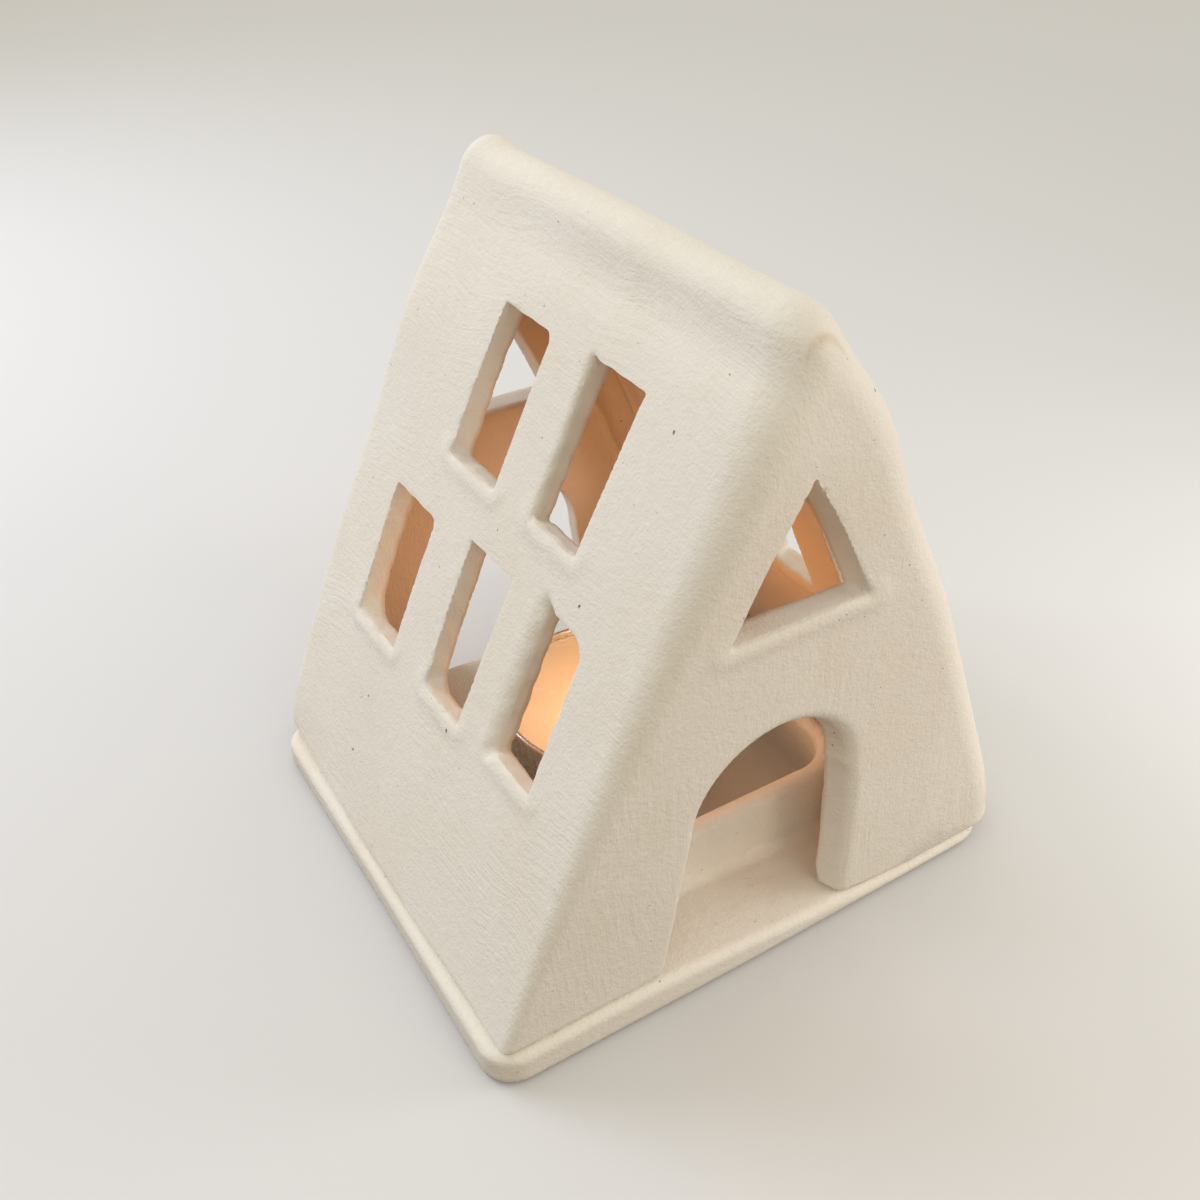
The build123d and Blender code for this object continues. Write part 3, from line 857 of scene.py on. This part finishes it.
class CLAYHOUSE_OT_tealight(bpy.types.Operator):
    """Make the tealight: cup, wax and wick, with a finish for the hidden wick foot"""

    bl_idname = "clayhouse.tealight"
    bl_label = "Tealight"

    def execute(self, context):
        settings = context.scene.tealight
        self.cup(settings)
        self.wax(settings)
        self.wick()
        tin = simple_material("stamped_tin", (0.56, 0.55, 0.53), 0.35, 1.0)
        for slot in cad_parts["wick_sustainer"].material_slots:
            slot.material = tin
        return {"FINISHED"}

    def cup(self, settings):
        """Pressed cup: a tapered, faintly fluted wall with a rolled rim and a stepped floor."""
        low, high = CUP_LOW[2], CUP_HIGH[2]
        outer = (CUP_HIGH[0] - CUP_LOW[0]) / 2
        rim, wall = 0.5, 0.35
        inside = [(0, low + 0.45), (outer - 3.2, low + 0.45), (outer - 1.9, low + 0.9),
                  (outer - rim - wall, high - 1.6)]
        roll = arc((outer - rim, high - rim), rim, 200, -70, 14)
        outside = [(outer - rim - 0.1, high - 1.6), (outer - 1.3, low + 0.7), (outer - 2.2, low), (0, low)]
        profile = np.concatenate([np.array(inside), roll, np.array(outside)])[::-1]
        fluted = ((profile[:, 1] > low + 0.6) & (profile[:, 1] < high - 1.2)).astype(float)
        verts, faces = turned(np.column_stack([profile, fluted]), 240, CUP_AXIS, 0.09, 60)
        piece = mesh_piece("tealight_cup_foil", verts * MM, faces, "tealight")
        piece.data.materials.append(simple_material("pressed_foil", settings.foil, 0.28, 1.0, 1400.0, 0.00005))
        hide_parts("tealight_cup")

    def wax(self, settings):
        """Wax with a molten pool: a shallow dished top that creeps up the wick and the cup."""
        low, high = WAX_LOW[2], WAX_HIGH[2]
        outer = (WAX_HIGH[0] - WAX_LOW[0]) / 2 - 0.05
        wick = (WICK_HIGH[0] - WICK_LOW[0]) / 2
        top = smooth_line([(outer - 0.02, high + 0.6), (outer - 0.5, high + 0.15), (outer - 2.0, high - 0.1),
                           (outer / 2, high - 0.2), (wick + 2.0, high - 0.1), (wick + 0.5, high + 0.2),
                           (wick - 0.3, high + 0.6)], 60)
        foot = np.array([(0, low + 0.6), (outer - 2.0, low + 0.6), (outer - 0.9, low + 1.2)])
        verts, faces = turned(np.concatenate([foot, top, [(0, high + 0.6)]]), 128, CUP_AXIS)
        piece = mesh_piece("tealight_wax_pool", verts * MM, faces, "tealight")
        material, sheet, shader, place = new_material("candle_wax")
        cloud = sheet.noise(place, 160.0, 3.0, 0.55)
        pale = colour(settings.wax)
        sheet.put(shader.inputs["Base Color"], sheet.mix(cloud, pale, colour([0.93 * c for c in settings.wax])))
        sheet.put(shader.inputs["Roughness"], sheet.steps(cloud, 0.3, 0.7, 0.12, 0.3))
        shader.inputs["Subsurface Weight"].default_value = 0.6
        shader.inputs["Subsurface Radius"].default_value = (0.006, 0.004, 0.002)
        shader.inputs["Subsurface Scale"].default_value = 1.0
        piece.data.materials.append(material)
        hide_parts("tealight_wax")

    def wick(self):
        """Braided wick, charred and curled over at its tip."""
        low, high = WICK_LOW[2], WICK_HIGH[2]
        radius = (WICK_HIGH[0] - WICK_LOW[0]) / 2 - 0.05
        rows, segments = 60, 24
        share = np.linspace(0, 1, rows)[:, None]
        angle = np.linspace(0, 2 * math.pi, segments, endpoint=False)[None, :]
        curl = np.clip((share - 0.72) / 0.28, 0, 1)
        braid = 1 + 0.10 * np.cos(3 * angle + 40 * share) * np.cos(3 * angle - 40 * share)
        taper = np.sqrt(np.clip(1 - curl ** 6, 0.02, 1))
        thick = radius * 0.9 * braid * taper
        x = CUP_AXIS[0] + 0.9 * curl ** 2 - 0.45 * curl + thick * np.cos(angle)
        y = CUP_AXIS[1] - 0.5 * curl ** 2 + thick * np.sin(angle)
        z = low + (high - low) * share - 0.15 * curl ** 2 * np.cos(angle)
        rings = np.stack(np.broadcast_arrays(x, y, z), axis=2)
        verts = np.concatenate([rings.reshape(-1, 3), rings[[0, -1]].mean(axis=1)])
        faces = closed_faces(rows, segments)
        piece = mesh_piece("tealight_braided_wick", verts * MM, faces, "tealight")
        material, sheet, shader, place = new_material("charred_wick")
        height = sheet.node("ShaderNodeSeparateXYZ", {0: place}).outputs["Z"]
        char = sheet.steps(height, (high - 6.0) * MM, (high - 4.0) * MM)
        grain = sheet.noise(place, 2500.0, 2.0)
        cotton = sheet.mix(grain, (0.62, 0.55, 0.42, 1), (0.75, 0.70, 0.58, 1))
        sheet.put(shader.inputs["Base Color"], sheet.mix(char, cotton, (0.02, 0.017, 0.015, 1)))
        sheet.put(shader.inputs["Roughness"], sheet.steps(grain, 0.2, 0.8, 0.75, 0.95))
        piece.data.materials.append(material)
        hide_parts("tealight_wick")


class CLAYHOUSE_OT_flame(bpy.types.Operator):
    """Make the flame and the warm light that it throws"""

    bl_idname = "clayhouse.flame"
    bl_label = "Flame"

    def execute(self, context):
        settings = context.scene.tealight
        low = WICK_HIGH[2] - 3.0
        outline = smooth_line([(0, low), (1.5, low + 0.9), (2.7, low + 3.6), (2.5, low + 7.0), (1.5, low + 11.5),
                               (0.55, low + 15.5), (0, low + 18.0)], 48)
        verts, faces = turned(outline, 40, CUP_AXIS)
        piece = mesh_piece("candle_flame", verts * MM, faces, "tealight")
        material, sheet, shader, place = new_material("candle_flame")
        height = sheet.node("ShaderNodeSeparateXYZ", {0: place}).outputs["Z"]
        rise = sheet.steps(height, low * MM, (low + 7.0) * MM)
        tip = sheet.steps(height, (low + 8.0) * MM, (low + 18.0) * MM)
        glow = sheet.mix(rise, (0.10, 0.12, 0.45, 1), (1.0, 0.62, 0.20, 1))
        sheet.put(shader.inputs["Emission Color"], sheet.mix(tip, glow, (1.0, 0.42, 0.08, 1)))
        sheet.put(shader.inputs["Base Color"], sheet.mix(tip, (0.9, 0.6, 0.25, 1), (0.9, 0.45, 0.12, 1)))
        shader.inputs["Emission Strength"].default_value = 6.0
        piece.data.materials.append(material)
        piece.visible_shadow = False
        lamp = bpy.data.lights.new("candle_light", "POINT")
        lamp.energy = settings.flame_power
        lamp.color = settings.flame
        lamp.shadow_soft_size = FLAME_SOFT * MM
        light = bpy.data.objects.new("candle_light", lamp)
        light.location = (CUP_AXIS[0] * MM, (CUP_AXIS[1] - FLAME_FORWARD) * MM, (low + FLAME_HEART) * MM)
        bpy.context.scene.collection.objects.link(light)
        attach(light, "tealight")
        return {"FINISHED"}


class CLAYHOUSE_OT_stage(bpy.types.Operator):
    """Make the pale floor, the soft studio lights and the camera"""

    bl_idname = "clayhouse.stage"
    bl_label = "Stage"

    def execute(self, context):
        settings = context.scene.stage_look
        self.floor(settings)
        self.world(settings)
        self.area("key", KEY_PLACE, settings.key_power, KEY_WIDTH, settings.key)
        self.area("fill", FILL_PLACE, settings.fill_power, FILL_WIDTH, settings.fill)
        self.area("front", FRONT_PLACE, settings.front_power, FRONT_WIDTH, settings.front)
        self.camera(context)
        context.scene.view_settings.view_transform = "Standard"
        return {"FINISHED"}

    def floor(self, settings):
        """A wide plain floor."""
        half = FLOOR_HALF
        corners = [(-half, -half, 0), (half, -half, 0), (half, half, 0), (-half, half, 0)]
        mesh = bpy.data.meshes.new("floor")
        mesh.from_pydata(corners, [], [(0, 1, 2, 3)])
        floor = bpy.data.objects.new("floor", mesh)
        bpy.context.scene.collection.objects.link(floor)
        material, sheet, shader, _ = new_material("pale_floor")
        tint = sheet.mix(seen_rays(sheet), colour(settings.floor_bounce), colour(settings.floor))
        sheet.put(shader.inputs["Base Color"], tint)
        shader.inputs["Roughness"].default_value = 0.9
        shader.inputs["Specular IOR Level"].default_value = 0.1
        mesh.materials.append(material)

    def world(self, settings):
        """Even soft light from all round, seen as a plain pale backdrop."""
        world = bpy.data.worlds.new("studio")
        bpy.context.scene.world = world
        world.use_nodes = True
        sheet = Sheet(world.node_tree)
        back = world.node_tree.nodes["Background"]
        light = colour([settings.ambient * c for c in settings.ambient_tint])
        sheet.put(back.inputs["Color"], sheet.mix(seen_rays(sheet), light, colour(settings.backdrop)))

    def area(self, name, place, power, size, tint):
        """A square soft light aimed at the middle of the house."""
        lamp = bpy.data.lights.new(name, "AREA")
        lamp.energy = power
        lamp.color = tint
        lamp.size = size
        light = bpy.data.objects.new(name, lamp)
        light.location = place
        aim = Vector(LIGHT_AIM) - Vector(place)
        light.rotation_euler = aim.to_track_quat("-Z", "Y").to_euler()
        light.visible_camera = False
        bpy.context.scene.collection.objects.link(light)

    def camera(self, context):
        """The photograph's own viewpoint: place, turn, tilt, roll and lens."""
        turn, tilt, roll = (math.radians(a) for a in (CAMERA_AZIMUTH, CAMERA_ELEVATION, CAMERA_ROLL))
        back = Vector((math.sin(turn) * math.cos(tilt), -math.cos(turn) * math.cos(tilt), math.sin(tilt)))
        right = (-back).cross(Vector((0, 0, 1))).normalized()
        up = right.cross(-back)
        level = math.cos(roll) * right + math.sin(roll) * up
        upright = math.cos(roll) * up - math.sin(roll) * right
        lens = bpy.data.cameras.new("camera")
        lens.lens = CAMERA_LENS
        lens.sensor_width = SENSOR_WIDTH
        lens.clip_start = 0.01
        camera = bpy.data.objects.new("camera", lens)
        camera.matrix_world = Matrix((
            (level.x, upright.x, back.x, CAMERA_PLACE[0] * MM),
            (level.y, upright.y, back.y, CAMERA_PLACE[1] * MM),
            (level.z, upright.z, back.z, CAMERA_PLACE[2] * MM),
            (0, 0, 0, 1)))
        context.scene.collection.objects.link(camera)
        context.scene.camera = camera


class CLAYHOUSE_PT_panel(bpy.types.Panel):
    """Sidebar panel that lists the settings and builders of the tealight house"""

    bl_idname = "CLAYHOUSE_PT_panel"
    bl_label = "Tealight House"
    bl_space_type = "VIEW_3D"
    bl_region_type = "UI"
    bl_category = "Tealight House"

    def draw(self, context):
        for group in (context.scene.clay_house, context.scene.tealight, context.scene.stage_look):
            box = self.layout.box()
            for name in group.bl_rna.properties.keys():
                if name not in ("rna_type", "name"):
                    box.prop(group, name)
        for builder in BUILDERS:
            self.layout.operator(builder.bl_idname)


BUILDERS = (
    CLAYHOUSE_OT_shell, CLAYHOUSE_OT_tray, CLAYHOUSE_OT_tealight, CLAYHOUSE_OT_flame, CLAYHOUSE_OT_stage,
)
CLASSES = (HouseSettings, TealightSettings, StageSettings, *BUILDERS, CLAYHOUSE_PT_panel)


def register():
    """Add the classes to Blender and their settings to the scene."""
    for item in CLASSES:
        bpy.utils.register_class(item)
    bpy.types.Scene.clay_house = PointerProperty(type=HouseSettings)
    bpy.types.Scene.tealight = PointerProperty(type=TealightSettings)
    bpy.types.Scene.stage_look = PointerProperty(type=StageSettings)


def unregister():
    """Take the settings and classes out again."""
    del bpy.types.Scene.clay_house, bpy.types.Scene.tealight, bpy.types.Scene.stage_look
    for item in reversed(CLASSES):
        bpy.utils.unregister_class(item)


def main():
    """Build every piece, then the stage with its lights and camera."""
    register()
    bpy.ops.clayhouse.shell()
    bpy.ops.clayhouse.tray()
    bpy.ops.clayhouse.tealight()
    bpy.ops.clayhouse.flame()
    bpy.ops.clayhouse.stage()


if __name__ == "__main__":
    main()
